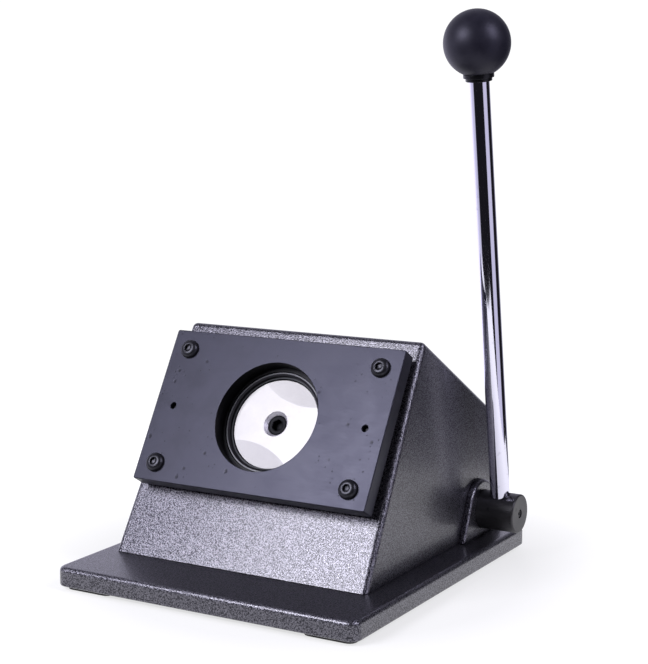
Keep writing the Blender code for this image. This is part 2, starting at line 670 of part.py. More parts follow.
def make_ram(finish, ram_line):
    """Punch, screw, ram with its forked end, roller, pin and the spring's thrust ring."""
    deep = PUNCH_BACK + 3 * MM
    face = [(0, deep), (9.6 * MM, deep), (9.6 * MM, 9 * MM), (0, 9 * MM)]
    disc = turned(rod(PUNCH_RADIUS, PUNCH_BACK, PUNCH_FACE), FINE)
    punch = piece("punch", disc, finish["steel"], ram_line)
    drill(punch, [(0, 0, face)], "counterbore")
    drill(punch, [(0, 0, rod(5.4 * MM, -20 * MM, 0))], "screw_hole", HIDDEN)
    screw = socket_screw(7.9 * MM, 10 * MM, 5 * MM, 24 * MM, 8 * MM, 1.2 * MM, SMALL)
    piece("punch_screw", screw, finish["black"], ram_line, (0, 0, deep + GAP))
    front = PUNCH_BACK - GAP
    up, out = roller_place()
    bar = turned(rod(RAM_RADIUS, RAM_SHOULDER - 4 * MM, front))
    ram = piece("ram", bar, finish["steel"], ram_line)
    fork_low = up - 15 * MM
    size = (33 * MM, RAM_RADIUS - fork_low, RAM_SHOULDER - RAM_END)
    fork = box(size, (0, (RAM_RADIUS + fork_low) / 2, (RAM_SHOULDER + RAM_END) / 2))
    combine(ram, fork, "fork", "UNION")
    slot_front = out + ROLLER_RADIUS + 2 * MM
    slot = box((CAM_WIDTH + 1 * MM, 80 * MM, 40 * MM), (0, 0, slot_front - 20 * MM))
    combine(ram, slot, "roller_slot")
    drill(ram, [(0, 0, rod(5.4 * MM, -50 * MM, 0))], "screw_hole", HIDDEN)
    across = (0, pi / 2, 0)
    pin_hole = rod(4 * MM + GAP, -30 * MM, 30 * MM)
    drill(ram, [(0, 0, pin_hole)], "pin_hole", HIDDEN, across, (0, up, out))
    pin = [(0, -19 * MM), (6 * MM, -19 * MM), (6 * MM, -16.8 * MM), (4 * MM, -16.8 * MM)]
    pin += [(4 * MM, 17.1 * MM), (3 * MM, 17.1 * MM), (3 * MM, 18.4 * MM), (4 * MM, 18.4 * MM)]
    pin += [(4 * MM, 20 * MM), (0, 20 * MM)]
    piece("roller_pin", turned(pin, HIDDEN), finish["steel"], ram_line, (0, up, out), across)
    clip = tube(6 * MM, 3 * MM + GAP, 17.3 * MM, 18.1 * MM)
    piece("pin_clip", turned(clip, HIDDEN), finish["spring"], ram_line, (0, up, out), across)
    wheel = frame("roller_axis", (0, up, out), parent=ram_line)
    tread = CAM_WIDTH / 2 - 0.5 * MM
    roller = tube(ROLLER_RADIUS, 4 * MM + GAP, -tread, tread)
    piece("cam_roller", turned(roller, ROUND), finish["steel"], wheel, rotation=across)
    ring = tube(25 * MM, RAM_RADIUS + GAP, RAM_SHOULDER + GAP, RAM_SHOULDER + 4.3 * MM)
    piece("spring_thrust_ring", turned(ring), finish["steel"], ram_line)


def make_spring(finish, punch_line):
    low = RAM_SHOULDER + 4.3 * MM + GAP
    length = GUIDE_BLOCK_END - GAP - low
    spring = coil(SPRING_RADIUS, SPRING_WIRE, length, 7.5)
    piece("return_spring", spring, finish["spring"], punch_line, (0, 0, low))


def main():
    clear_scene()
    finish = make_finishes()
    hole_y = FRONT_FOOT_Y + BORE_UP_SLOPE * cos(FRONT_ANGLE)
    hole_z = BASE_TOP + BORE_UP_SLOPE * sin(FRONT_ANGLE)
    shaft_line = frame("shaft_line", (BODY_X, AXIS_Y, AXIS_Z))
    punch_line = frame("punch_line", (BODY_X, hole_y, hole_z), (FRONT_ANGLE, 0, 0))
    ram_line = frame("ram_line", (0, 0, 0), parent=punch_line)
    make_base(finish)
    make_housing(finish, shaft_line, punch_line)
    make_foot_bars(finish)
    make_bearings(finish, shaft_line)
    make_shaft(finish, shaft_line)
    make_cam(finish, shaft_line)
    make_lever(finish, shaft_line)
    make_die(finish, punch_line)
    make_ram_guide(finish, punch_line)
    make_ram(finish, ram_line)
    make_spring(finish, punch_line)


main()
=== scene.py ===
"""Looks of a lever-operated disc cutter for button badges, around its fixed mechanical frame.

Each function builds one surface with numpy from a formula that its docstring gives in words. All
sizes are metres in the frame's own axes: +X along the drive shaft, +Y to the rear, +Z up.
"""

import json
from math import cos, pi, radians, sin, tan, tau

import bpy
import numpy as np
from bpy.props import FloatProperty, FloatVectorProperty, PointerProperty
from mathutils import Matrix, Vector


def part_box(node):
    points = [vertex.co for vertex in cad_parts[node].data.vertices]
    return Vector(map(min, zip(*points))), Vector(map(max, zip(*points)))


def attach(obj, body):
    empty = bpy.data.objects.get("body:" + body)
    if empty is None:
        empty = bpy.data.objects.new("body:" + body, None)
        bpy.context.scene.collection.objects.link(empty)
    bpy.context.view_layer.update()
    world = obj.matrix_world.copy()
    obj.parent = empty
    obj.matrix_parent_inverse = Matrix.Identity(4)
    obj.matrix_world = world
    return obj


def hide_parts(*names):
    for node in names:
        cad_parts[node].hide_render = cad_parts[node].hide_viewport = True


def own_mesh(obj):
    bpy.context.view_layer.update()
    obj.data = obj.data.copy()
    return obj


bl_info = {
    "name": "Badge disc cutter looks",
    "version": (1, 0, 0),
    "blender": (4, 5, 0),
    "location": "3D View > Sidebar > Disc Cutter",
    "description": "Builds the visible pieces, finishes and studio of a badge disc cutter",
    "category": "Object",
}

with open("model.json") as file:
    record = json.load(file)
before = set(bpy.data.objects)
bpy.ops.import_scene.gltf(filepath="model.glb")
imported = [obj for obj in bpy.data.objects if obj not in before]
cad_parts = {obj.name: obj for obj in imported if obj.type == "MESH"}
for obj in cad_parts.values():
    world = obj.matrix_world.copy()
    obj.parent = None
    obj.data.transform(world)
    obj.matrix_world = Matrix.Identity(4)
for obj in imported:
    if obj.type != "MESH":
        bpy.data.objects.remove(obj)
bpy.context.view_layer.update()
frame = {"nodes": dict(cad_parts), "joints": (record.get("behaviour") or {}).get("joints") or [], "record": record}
JOINTS = {joint["name"]: joint for joint in frame["joints"]}

MM = 0.001
UP_X, UP_Y, UP_Z = np.eye(3)


def middle(node):
    """Centre of a frame node's box."""
    return np.array(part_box(node)).sum(0) / 2


# Lines that the mechanism moves about
SHAFT = np.array(JOINTS["lever_swing"]["pos_m"])
OUT = np.array(JOINTS["punch_slide"]["axis"], float)
OUT /= np.linalg.norm(OUT)
UP_SLOPE = np.cross(OUT, UP_X)
RING_MIDDLE = 6.05 * MM  # how far the cutting ring's middle stands out from the sloping front
PUNCH = middle("cutting_ring") - RING_MIDDLE * OUT
BODY_X = SHAFT[0]
SLOPE = np.stack([UP_X, UP_SLOPE, OUT])  # rows: local x, y and z of everything on the front
ACROSS = np.stack([UP_Y, UP_Z, UP_X])  # local z along the shaft

# Base and housing
BASE_LOW, BASE_HIGH = np.array(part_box("base_plate"))
BASE_TOP = BASE_HIGH[2]
BASE_MIDDLE_X = middle("base_plate")[0]
BODY_HALF = 107.7 * MM
LEAN = tan(radians(1.96))
REAR_SLOPE = radians(31)
WALL = 5.0 * MM
CHEEK = 4.8 * MM
BUSH_BORE = 18.7 * MM
SHAFT_RADIUS = 15.0 * MM

# Die plate and punch, heights measured out from the sloping front
DIE_HALF = 99.35 * MM
DIE_HEIGHT = 121.6 * MM
DIE_RISE = 0.7 * MM
DIE_BACK, DIE_FACE = 5.2 * MM, 17.9 * MM
SCREW_X, SCREW_Y = 82.95 * MM, 46.0 * MM
PUNCH_RADIUS = 35.0 * MM
PUNCH_BACK, PUNCH_FACE = -13.8 * MM, 2.2 * MM
RELIEF_REACH, RELIEF_AWAY, RELIEF_LEAN = 63 * MM, 82 * MM, radians(73.3)

# Lever
KNOB_LOW, KNOB_HIGH = np.array(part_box("ball_knob"))
KNOB_RADIUS = (KNOB_HIGH[0] - KNOB_LOW[0]) / 2
KNOB = np.array([*middle("ball_knob")[:2], KNOB_HIGH[2] - KNOB_RADIUS])
ROD_FOOT = np.array([KNOB[0], *SHAFT[1:]])
KNOB_REACH = np.linalg.norm(KNOB - ROD_FOOT)
ROD_UP = (KNOB - ROD_FOOT) / KNOB_REACH
ROD = np.stack([UP_X, np.cross(ROD_UP, UP_X), ROD_UP])
ROD_RADIUS = 7.6 * MM

CORNERS = ("lower_left", "lower_right", "upper_left", "upper_right")
FEET = ("front_left", "front_right", "rear_left", "rear_right")


# ---- surfaces ----


def strip(rows, columns):
    """Quads between neighbouring rows of a grid whose columns close on themselves."""
    i, j = np.arange(rows - 1)[:, None], np.arange(columns)[None, :]
    here, beside = i * columns + j, i * columns + (j + 1) % columns
    return np.stack([here, beside, beside + columns, here + columns], -1).reshape(-1, 4).tolist()


def turned(profile, sides=96, hexagon=0.0):
    """A profile of (radius, height) turned about local Z: the point at angle t is
    (r cos t, r sin t, h). Where r is no more than the hexagon's half width, r is divided by the
    cosine of the angle from the middle of the nearest flat. An end on the axis closes in a fan;
    otherwise the last ring joins the first."""
    profile = np.asarray(profile, float)
    first, last = profile[0, 0] < 1e-9, profile[-1, 0] < 1e-9
    rings = profile[int(first) : len(profile) - int(last)]
    angle = np.arange(sides) * tau / sides
    off_flat = (angle + pi / 6) % (pi / 3) - pi / 6
    reach = np.where(rings[:, :1] <= hexagon + 1e-7, rings[:, :1] / np.cos(off_flat), rings[:, :1])
    height = np.broadcast_to(rings[:, 1:2], reach.shape)
    points = np.stack([reach * np.cos(angle), reach * np.sin(angle), height], -1).reshape(-1, 3)
    faces = strip(len(rings), sides)
    step = np.arange(sides)
    beyond = (step + 1) % sides
    top = (len(rings) - 1) * sides
    if first and last:
        points = np.vstack([points, [0, 0, profile[0, 1]], [0, 0, profile[-1, 1]]])
        low, high = np.full(sides, len(points) - 2), np.full(sides, len(points) - 1)
        faces += np.stack([low, beyond, step], -1).tolist()
        faces += np.stack([high, top + step, top + beyond], -1).tolist()
    else:
        faces += np.stack([top + step, top + beyond, beyond, step], -1).tolist()
    return points, faces


def softened(path, radius, steps=5, closed=False):
    """A path with its corners rounded. A corner P whose sides run towards A and B, cut back by the
    tangent length radius / tan(half the corner), becomes (1-s)^2 A + 2s(1-s) P + s^2 B."""
    path = np.asarray(path, float)
    radius = np.broadcast_to(radius, len(path))
    back, ahead = np.roll(path, 1, 0) - path, np.roll(path, -1, 0) - path
    back_length, ahead_length = (np.linalg.norm(side, axis=1) for side in (back, ahead))
    back, ahead = back / back_length[:, None], ahead / ahead_length[:, None]
    half = np.arccos(np.clip((back * ahead).sum(1), -1, 1)) / 2
    reach = np.minimum(radius / np.tan(half), 0.48 * np.minimum(back_length, ahead_length))
    if not closed:
        reach[[0, -1]] = 0
    s = np.linspace(0, 1, steps + 1)[None, :, None]
    start, end = path + back * reach[:, None], path + ahead * reach[:, None]
    curve = (1 - s) ** 2 * start[:, None] + 2 * s * (1 - s) * path[:, None] + s * s * end[:, None]
    curve = curve.reshape(-1, path.shape[1])
    apart = np.linalg.norm(curve - np.roll(curve, 1, 0), axis=1) > 1e-7
    apart[0] = True
    return curve[apart]


def slab(outline, profile):
    """A plate: the outline, anticlockwise, stands at each (inset, height) of the profile moved
    inwards along its own normals by the inset. The two ends are closed flat."""
    outline = np.asarray(outline, float)
    along = np.roll(outline, -1, 0) - np.roll(outline, 1, 0)
    outwards = np.stack([along[:, 1], -along[:, 0]], -1) / np.linalg.norm(along, axis=1)[:, None]
    inset, height = np.asarray(profile, float).T
    flat = outline[None] - inset[:, None, None] * outwards[None]
    tall = np.broadcast_to(height[:, None, None], (*flat.shape[:2], 1))
    count = len(outline)
    points = np.concatenate([flat, tall], -1).reshape(-1, 3)
    top = (len(profile) - 1) * count
    ends = [list(range(count))[::-1], [top + i for i in range(count)]]
    return points, strip(len(profile), count) + ends


def edge_profile(low, high, low_round, high_round, steps=5):
    """(inset, height) pairs of a plate's side with both of its edges rounded by quarter circles."""
    turn = np.linspace(0, pi / 2, steps + 1)
    bottom = np.stack([low_round * (1 - np.sin(turn)), low + low_round * (1 - np.cos(turn))], -1)
    top = np.stack([high_round * (1 - np.cos(turn)), high - high_round * (1 - np.sin(turn))], -1)
    return np.vstack([bottom, top])


def rounded_rectangle(width, depth, radius, steps=8):
    """Corners at (+-width/2, +-depth/2), each a quarter circle, anticlockwise from the right."""
    quarter = np.linspace(0, pi / 2, steps + 1)
    turn = (np.arange(4)[:, None] * pi / 2 + quarter[None]).ravel()
    side = np.repeat(np.array([[1, 1], [-1, 1], [-1, -1], [1, -1]]), steps + 1, axis=0)
    centre = side * (np.array([width, depth]) / 2 - radius)
    return centre + radius * np.stack([np.cos(turn), np.sin(turn)], -1)


def tube_along(line, radius, sides=16):
    """A round tube: at each point of the line, a circle in the plane square to the line there, with
    both ends closed flat."""
    forward = np.gradient(line, axis=0)
    forward /= np.linalg.norm(forward, axis=1)[:, None]
    aside = np.cross(forward, [0, 0, 1.0])
    aside /= np.linalg.norm(aside, axis=1)[:, None]
    over = np.cross(aside, forward)
    angle = (np.arange(sides) * tau / sides)[None, :, None]
    ring = radius * (np.cos(angle) * aside[:, None] + np.sin(angle) * over[:, None])
    points = (line[:, None] + ring).reshape(-1, 3)
    top = (len(line) - 1) * sides
    faces = [face[::-1] for face in strip(len(line), sides)]
    return points, faces + [list(range(sides)), [top + i for i in range(sides)][::-1]]


def joined(*shapes):
    """Several surfaces as one list of points and faces."""
    points, faces = [], []
    for part_points, part_faces in shapes:
        shift = sum(len(p) for p in points)
        points.append(np.asarray(part_points, float))
        faces += [[i + shift for i in face] for face in part_faces]
    return np.vstack(points), faces


def shifted(shape, x=0.0, y=0.0, z=0.0):
    """A surface moved along its own axes."""
    return shape[0] + np.array([x, y, z]), shape[1]


def put(shape, origin, axes):
    """Local points carried into the frame: origin + x, y and z times the three axes."""
    return np.asarray(origin) + shape[0] @ axes, shape[1]


# ---- pieces ----


def added(name, data):
    """A new object in the scene."""
    made = bpy.data.objects.new(name, data)
    bpy.context.scene.collection.objects.link(made)
    return made


def mesh_object(name, shape):
    """An object in the scene with a surface for its mesh."""
    mesh = bpy.data.meshes.new(name)
    mesh.from_pydata(np.asarray(shape[0]).tolist(), [], shape[1])
    mesh.update()
    return added(name, mesh)


def settle(made):
    """Replaces a piece's mesh by what its modifiers make of it."""
    evaluated = made.evaluated_get(bpy.context.evaluated_depsgraph_get())
    mesh = bpy.data.meshes.new_from_object(evaluated)
    made.modifiers.clear()
    made.data = mesh


def cut(made, shape):
    """Takes one closed surface, or several joined, out of a piece."""
    tool = mesh_object("tool", shape)
    change = made.modifiers.new("cut", "BOOLEAN")
    change.solver = "EXACT"
    change.object = tool
    settle(made)
    bpy.data.objects.remove(tool, do_unlink=True)


def piece(name, shape, body, finish, stands_for, holes=(), sharp=32):
    """One new piece, finished."""
    return finished(mesh_object(name, shape), body, finish, stands_for, holes, sharp)


def finished(made, body, finish, stands_for, holes=(), sharp=32):
    """Gives a mesh its holes in turn, then its material, shading with edges past the sharp angle
    in degrees kept crisp, body, and the frame nodes that it stands for."""
    for shape in holes:
        cut(made, shape)
    made.data.materials.clear()
    made.data.materials.append(finish)
    made.data.shade_smooth()
    made.data.set_sharp_from_angle(angle=radians(sharp))
    even = made.modifiers.new("even shading", "WEIGHTED_NORMAL")
    even.keep_sharp = True
    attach(made, body)
    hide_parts(*stands_for)
    return made


def hole(radius, low, high, rim=0.0, face=0.0):
    """Profile of a cutter for a round hole. With a rim, the hole's edge at the face is rounded: the
    radius grows by rim times (1 - cos t) while the height nears the face by rim times sin t."""
    if not rim:
        return [(0, low), (radius, low), (radius, high), (0, high)]
    turn = np.linspace(0, pi / 2, 5)
    flare = np.stack([radius + rim * (1 - np.cos(turn)), face - rim * (1 - np.sin(turn))], -1)
    return [(0, low), (radius, low), *flare.tolist(), (radius + rim, high), (0, high)]


def socket_screw(head, height, shank, length, flats, crown):
    """A screw along Z with its head on height 0. The head's edge is a quarter ellipse that falls by
    the crown. Its socket is a hexagon with a rounded rim and a shallow cone for its floor."""
    rim, break_edge = 0.35 * MM, 0.25 * MM
    top = max(flats * 0.72, head - 1.8 * crown)
    turn = np.linspace(0, pi / 2, 9)
    dome = np.stack(
        [top + (head - top) * np.cos(turn), height - crown * (1 - np.sin(turn))], -1
    ).tolist()
    floor = 0.45 * height
    half = flats / 2
    socket = [(half * 1.16 + rim, height), (half * 1.16, height - 0.2 * rim)]
    socket += [(half, height - rim), (half, floor), (0.3 * half, floor - 0.5 * MM)]
    start = [(0, -length), (shank - 0.5 * MM, -length), (shank, 0.5 * MM - length), (shank, 0)]
    start += [(head - break_edge, 0), (head, break_edge)]
    return turned(start + dome + socket + [(0, floor - 0.5 * MM)], 96, half)


# ---- finishes ----


class Value:
    """A number that changes over a surface, so that shader maths reads as plain maths."""

    def __init__(self, nodes, socket):
        self.nodes, self.socket = nodes, socket

    def maths(self, operation, *inputs, clamp=False):
        """A new number from one operation on numbers of either sort."""
        settings = {"operation": operation, "use_clamp": clamp}
        return self.nodes.value("ShaderNodeMath", settings, dict(enumerate(inputs)))

    def __add__(self, other):
        return self.maths("ADD", self, other)

    def __radd__(self, other):
        return self.maths("ADD", other, self)

    def __sub__(self, other):
        return self.maths("SUBTRACT", self, other)

    def __rsub__(self, other):
        return self.maths("SUBTRACT", other, self)

    def __mul__(self, other):
        return self.maths("MULTIPLY", self, other)

    def __rmul__(self, other):
        return self.maths("MULTIPLY", other, self)

    def __truediv__(self, other):
        return self.maths("DIVIDE", self, other)

    def __rtruediv__(self, other):
        return self.maths("DIVIDE", other, self)

    def above(self, low, high):
        """0 below low, 1 above high, and in even proportion between them."""
        return self.maths("DIVIDE", self - low, high - low, clamp=True)


class Nodes:
    """A node tree being built, with each kind of node made through one method."""

    def __init__(self, tree):
        self.tree = tree
        tree.nodes.clear()

    def node(self, kind, settings=None, inputs=None):
        """A node of a kind, with its settings made first. Each input is a value or a link."""
        made = self.tree.nodes.new(kind)
        for name, setting in (settings or {}).items():
            setattr(made, name, setting)
        for name, given in (inputs or {}).items():
            if isinstance(name, int):
                socket = made.inputs[name]
            else:
                socket = next(s for s in made.inputs if s.name == name and s.enabled)
            if isinstance(given, Value):
                given = given.socket
            if isinstance(given, bpy.types.NodeSocket):
                self.tree.links.new(given, socket)
            elif hasattr(given, "__len__") and len(given) == 3 and socket.type == "RGBA":
                socket.default_value = (*given, 1)
            else:
                socket.default_value = given
        return made

    def value(self, kind, settings=None, inputs=None):
        """A new node's first output, for shader maths."""
        return Value(self, self.node(kind, settings, inputs).outputs[0])

    def place(self, scale=(1, 1, 1), turn=(0, 0, 0), origin=(0, 0, 0)):
        """Object coordinates, moved so that origin is zero, turned and then stretched."""
        coordinates = self.node("ShaderNodeTexCoord").outputs["Object"]
        inputs = {0: coordinates, 1: tuple(float(n) for n in origin)}
        moved = self.node("ShaderNodeVectorMath", {"operation": "SUBTRACT"}, inputs).outputs[0]
        inputs = {"Vector": moved, "Rotation": turn}
        level = self.node("ShaderNodeMapping", {"vector_type": "POINT"}, inputs).outputs[0]
        return self.node("ShaderNodeMapping", None, {"Vector": level, "Scale": scale}).outputs[0]

    def within(self, radius, blur, origin=PUNCH):
        """1 nearer than the radius to the line along OUT through the origin, and 0 beyond it."""
        inputs = {0: self.place(origin=origin), 1: tuple(float(n) for n in OUT)}
        crossed = self.node("ShaderNodeVectorMath", {"operation": "CROSS_PRODUCT"}, inputs)
        inputs = {0: crossed.outputs[0]}
        length = self.node("ShaderNodeVectorMath", {"operation": "LENGTH"}, inputs)
        return 1 - Value(self, length.outputs["Value"]).above(radius - blur, radius + blur)

    def noise(self, place, scale, detail=2.0, roughness=0.5, distortion=0.0):
        """Smooth noise around 0.5, with scale swells to the metre."""
        inputs = {"Vector": place, "Scale": scale, "Detail": detail}
        inputs |= {"Roughness": roughness, "Distortion": distortion}
        return self.value("ShaderNodeTexNoise", None, inputs)

    def cells(self, place, scale):
        """Distance to the nearest of many scattered points, in cell widths."""
        return self.value("ShaderNodeTexVoronoi", None, {"Vector": place, "Scale": scale})

    def mix(self, factor, first, second):
        """The first colour where the factor is 0, and the second where it is 1."""
        inputs = {"Factor": factor, "A": first, "B": second}
        return self.node("ShaderNodeMix", {"data_type": "RGBA"}, inputs).outputs[2]

    def bump(self, height, strength, distance):
        """A normal tilted by a height that counts as distance metres for each 1."""
        inputs = {"Height": height, "Strength": strength, "Distance": distance}
        return self.node("ShaderNodeBump", None, inputs).outputs[0]


def finish(name, build):
    """A material made once: build(nodes) returns the sockets of its shader."""
    if name in bpy.data.materials:
        return bpy.data.materials[name]
    made = bpy.data.materials.new(name)
    made.use_nodes = True
    nodes = Nodes(made.node_tree)
    inputs = build(nodes)
    shader = nodes.node("ShaderNodeBsdfPrincipled", None, inputs)
    nodes.node("ShaderNodeOutputMaterial", None, {"Surface": shader.outputs[0]})
    return made


def hammertone():
    """Grey enamel with a fine bright and dark speckle under a clear, smooth coat."""
    looks = bpy.context.scene.cutter_finish

    def build(nodes):
        place = nodes.place()
        askew = nodes.place(turn=(0.5, 0.8, 0.3))
        fine = nodes.noise(askew, 1 / looks.speckle, 1.5, 0.5)
        drift = nodes.noise(place, 30.0, 2.0)
        colour = nodes.mix(fine.above(0.4, 0.6), looks.paint_dark, looks.paint_light)
        return {
            "Base Color": colour,
            "Metallic": 0.9,
            "Roughness": 0.3 + drift * 0.06,
            "Coat Weight": 0.55,
            "Coat Roughness": 0.2,
            "Normal": nodes.bump(fine, 0.42, 0.0009),
        }

    return finish("hammertone_enamel", build)


def blackened(name, base, rough, scuff=0.4, scale=(1, 1, 1), grain=0.12, bore_shade_radius=0.0):
    """Black oxide on steel: faint cloudy smudges, dark dents and small nicks, over a grain that is
    stretched along one direction. Nearer to the punch's line than the given radius, the steel is
    painted much darker, as painted shade down in the die's bore."""

    def build(nodes):
        place = nodes.place()
        lines = nodes.noise(nodes.place(scale), 700.0, 3.0, 0.6)
        smudge = nodes.noise(place, 38.0, 4.0, 0.62, 0.4)
        ragged = nodes.noise(place, 420.0, 2.0)
        dents = 1 - (nodes.cells(place, 85.0) + ragged * 0.16).above(0.16, 0.24)
        nicks = 1 - (nodes.cells(place, 240.0) + ragged * 0.1).above(0.14, 0.22)
        chosen = nodes.noise(place, 50.0, 1.0).above(0.54, 0.58)
        marks = (dents + nicks).above(0.0, 1.0) * chosen
        bright = tuple(n * (1 + 0.6 * scuff) for n in base)
        colour = nodes.mix(smudge.above(0.35, 0.75), tuple(base), bright)
        dark = tuple(n * 0.25 for n in base)
        colour = nodes.mix(marks * scuff, colour, dark)
        # Painted shade: inside the given radius the die is painted almost black, for the shade down in its bore.
        if bore_shade_radius:
            painted_bore_shade = tuple(n * 0.12 for n in base)
            colour = nodes.mix(nodes.within(bore_shade_radius, 0.1 * MM), colour, painted_bore_shade)
        height = lines * grain + smudge * 0.25 - marks * 0.6
        return {
            "Base Color": colour,
            "Metallic": 0.75,
            "Roughness": rough + smudge.above(0.3, 0.8) * 0.16 + lines * 0.08 - 0.06,
            "Normal": nodes.bump(height, 0.25, 0.0004),
        }

    return finish(name, build)


def ground(
    name, base, rough, scale=(1, 1, 1), turn=(0, 0, 0), grain=0.35, inner=None, relief_shades=()
):
    """Bare steel with fine grinding lines and a faint stain. Nearer to the punch's line than the
    first number of inner, it has inner's colour and roughness. Each relief is a point, the radius
    about it that was ground a second time, and how far painted shade darkens the steel inside it."""

    def build(nodes):
        lines = nodes.noise(nodes.place(scale, turn), 900.0, 4.0, 0.65)
        stain = nodes.noise(nodes.place(), 45.0, 3.0, 0.55)
        darker = tuple(n * 0.86 for n in base)
        colour, level = nodes.mix(stain.above(0.3, 0.75), darker, tuple(base)), rough
        # Painted shade: the steel inside each relief circle is painted darker.
        for origin, radius, painted_shade in relief_shades:
            inside = nodes.within(radius, 0.2 * MM, origin)
            colour = nodes.mix(inside * painted_shade, colour, (0, 0, 0.02))
        if inner:
            radius, inner_colour, inner_rough = inner
            inside = nodes.within(radius, 0.05 * MM)
            colour = nodes.mix(inside, colour, inner_colour)
            level = rough + inside * (inner_rough - rough)
        return {
            "Base Color": colour,
            "Metallic": 1.0,
            "Roughness": level + lines * 0.12 + stain * 0.06 - 0.06,
            "Normal": nodes.bump(lines, grain, 0.0002),
        }

    return finish(name, build)


def chrome():
    """Polished plating, with very fine wiping marks and a few dull spots."""

    def build(nodes):
        place = nodes.place()
        wipes = nodes.noise(nodes.place((1, 1, 0.08)), 500.0, 3.0, 0.6)
        spots = nodes.noise(place, 160.0, 2.0).above(0.66, 0.74)
        return {
            "Base Color": nodes.mix(spots * 0.4, (0.68, 0.67, 0.78), (0.48, 0.48, 0.57)),
            "Metallic": 1.0,
            "Roughness": 0.05 + wipes * 0.05 + spots * 0.1,
            "Normal": nodes.bump(wipes, 0.03, 0.0002),
        }

    return finish("polished_chrome", build)


def knob_black():
    """Moulded black with a soft sheen, handled to a slightly uneven gloss."""
    looks = bpy.context.scene.cutter_finish

    def build(nodes):
        place = nodes.place()
        grain = nodes.noise(place, 1400.0, 2.0, 0.5)
        handled = nodes.noise(place, 55.0, 3.0, 0.6)
        light = tuple(n * 1.5 + 0.004 for n in looks.knob)
        return {
            "Base Color": nodes.mix(handled.above(0.35, 0.7), tuple(looks.knob), light),
            "Roughness": 0.38 + handled * 0.12,
            "Specular IOR Level": 0.3,
            "Specular Tint": (0.8, 0.78, 1.0),
            "Normal": nodes.bump(grain + handled * 0.6, 0.12, 0.0002),
        }

    return finish("knob_moulding", build)


def rubber():
    """Matt black rubber with a fine grain and a little dust."""

    def build(nodes):
        place = nodes.place()
        grain = nodes.noise(place, 1600.0, 3.0, 0.6)
        dust = nodes.noise(place, 90.0, 3.0, 0.6)
        dusty = (0.04, 0.04, 0.042)
        return {
            "Base Color": nodes.mix(dust.above(0.45, 0.8), (0.013, 0.013, 0.014), dusty),
            "Roughness": 0.78 + dust * 0.12,
            "Normal": nodes.bump(grain, 0.3, 0.0002),
        }

    return finish("foot_rubber", build)


def bronze():
    """Bearing bronze, turned and partly tarnished."""

    def build(nodes):
        lines = nodes.noise(nodes.place((0.1, 1, 1)), 700.0, 3.0, 0.6)
        tarnish = nodes.noise(nodes.place(), 60.0, 3.0, 0.6)
        clean, tarnished = (0.62, 0.42, 0.2), (0.38, 0.25, 0.12)
        return {
            "Base Color": nodes.mix(tarnish.above(0.3, 0.75), clean, tarnished),
            "Metallic": 1.0,
            "Roughness": 0.3 + tarnish * 0.15 + lines * 0.06,
            "Normal": nodes.bump(lines, 0.15, 0.0002),
        }

    return finish("bearing_bronze", build)


def spring_steel():
    """Grey spring wire and clips under uneven oil."""

    def build(nodes):
        oil = nodes.noise(nodes.place(), 120.0, 3.0, 0.6)
        return {
            "Base Color": nodes.mix(oil.above(0.3, 0.7), (0.3, 0.3, 0.32), (0.16, 0.15, 0.15)),
            "Metallic": 1.0,
            "Roughness": 0.28 + oil * 0.18,
            "Normal": nodes.bump(oil, 0.08, 0.0002),
        }

    return finish("oiled_spring_steel", build)


# ---- settings a user would change ----


COLOUR = {"subtype": "COLOR", "size": 3, "min": 0, "max": 1}


class CutterFinish(bpy.types.PropertyGroup):
    """Colours and textures of the finishes."""

    paint_dark: FloatVectorProperty(
        name="Paint, dark speckle",
        description="Colour of the enamel between its bright flakes",
        default=(0.012, 0.0115, 0.02),
        **COLOUR,
    )
    paint_light: FloatVectorProperty(
        name="Paint, bright speckle",
        description="Colour of the enamel's bright flakes",
        default=(0.165, 0.16, 0.19),
        **COLOUR,
    )
    speckle: FloatProperty(
        name="Speckle size",
        description="Size of the enamel's flakes",
        subtype="DISTANCE",
        min=0.0004,
        max=0.01,
        default=0.0009,
    )
    knob: FloatVectorProperty(
        name="Knob",
        description="Colour of the ball knob's moulding",
        default=(0.008, 0.0075, 0.013),
        **COLOUR,
    )


class CutterShape(bpy.types.PropertyGroup):
    """Sizes of the rounded edges."""

    housing_rounding: FloatProperty(
        name="Housing edges",
        description="Radius of the housing's welded and ground edges",
        subtype="DISTANCE",
        min=0.0005,
        max=0.008,
        default=0.0042,
    )
    base_rounding: FloatProperty(
        name="Base's upper edge",
        description="Radius along the top of the base plate",
        subtype="DISTANCE",
        min=0.0005,
        max=0.006,
        default=0.0036,
    )
    punch_relief: FloatProperty(
        name="Punch relief",
        description="Depth ground away at two sides of the punch's face",
        subtype="DISTANCE",
        min=0.0,
        max=0.004,
        default=0.0008,
    )


class CutterStudio(bpy.types.PropertyGroup):
    """Camera and light."""

    lens: FloatProperty(
        name="Focal length", description="The lens, in millimetres", min=20, max=200, default=87.7
    )
    distance: FloatProperty(
        name="Camera distance",
        description="From the camera to the point that it looks at",
        subtype="DISTANCE",
        min=0.5,
        max=5,
        default=1.215,
    )
    azimuth: FloatProperty(
        name="Camera azimuth",
        description="Turn of the camera from the front towards the lever's side",
        subtype="ANGLE",
        default=radians(30.34),
    )
    elevation: FloatProperty(
        name="Camera elevation",
        description="How far the camera looks down",
        subtype="ANGLE",
        default=radians(8.56),
    )
    light: FloatProperty(
        name="Light", description="Strength of all of the soft lights", min=0.1, max=5, default=1.0
    )


# ---- studio ----

LOOK_AT = (BASE_MIDDLE_X + 12.45 * MM, 13.41 * MM, 180.8 * MM)
FLOOR_EDGES = (-0.42, 0.4, -0.38, 0.38)  # left, right, front, rear
SOFTBOXES = (  # name, place, size across and up, watts, colour
    ("key_softbox", (-0.61, -1.32, 1.12), 0.8, 0.8, 30, (0.93, 0.925, 1.0)),
    ("right_softbox", (1.35, -0.06, 1.2), 0.5, 0.9, 17, (0.88, 0.86, 1.0)),
)


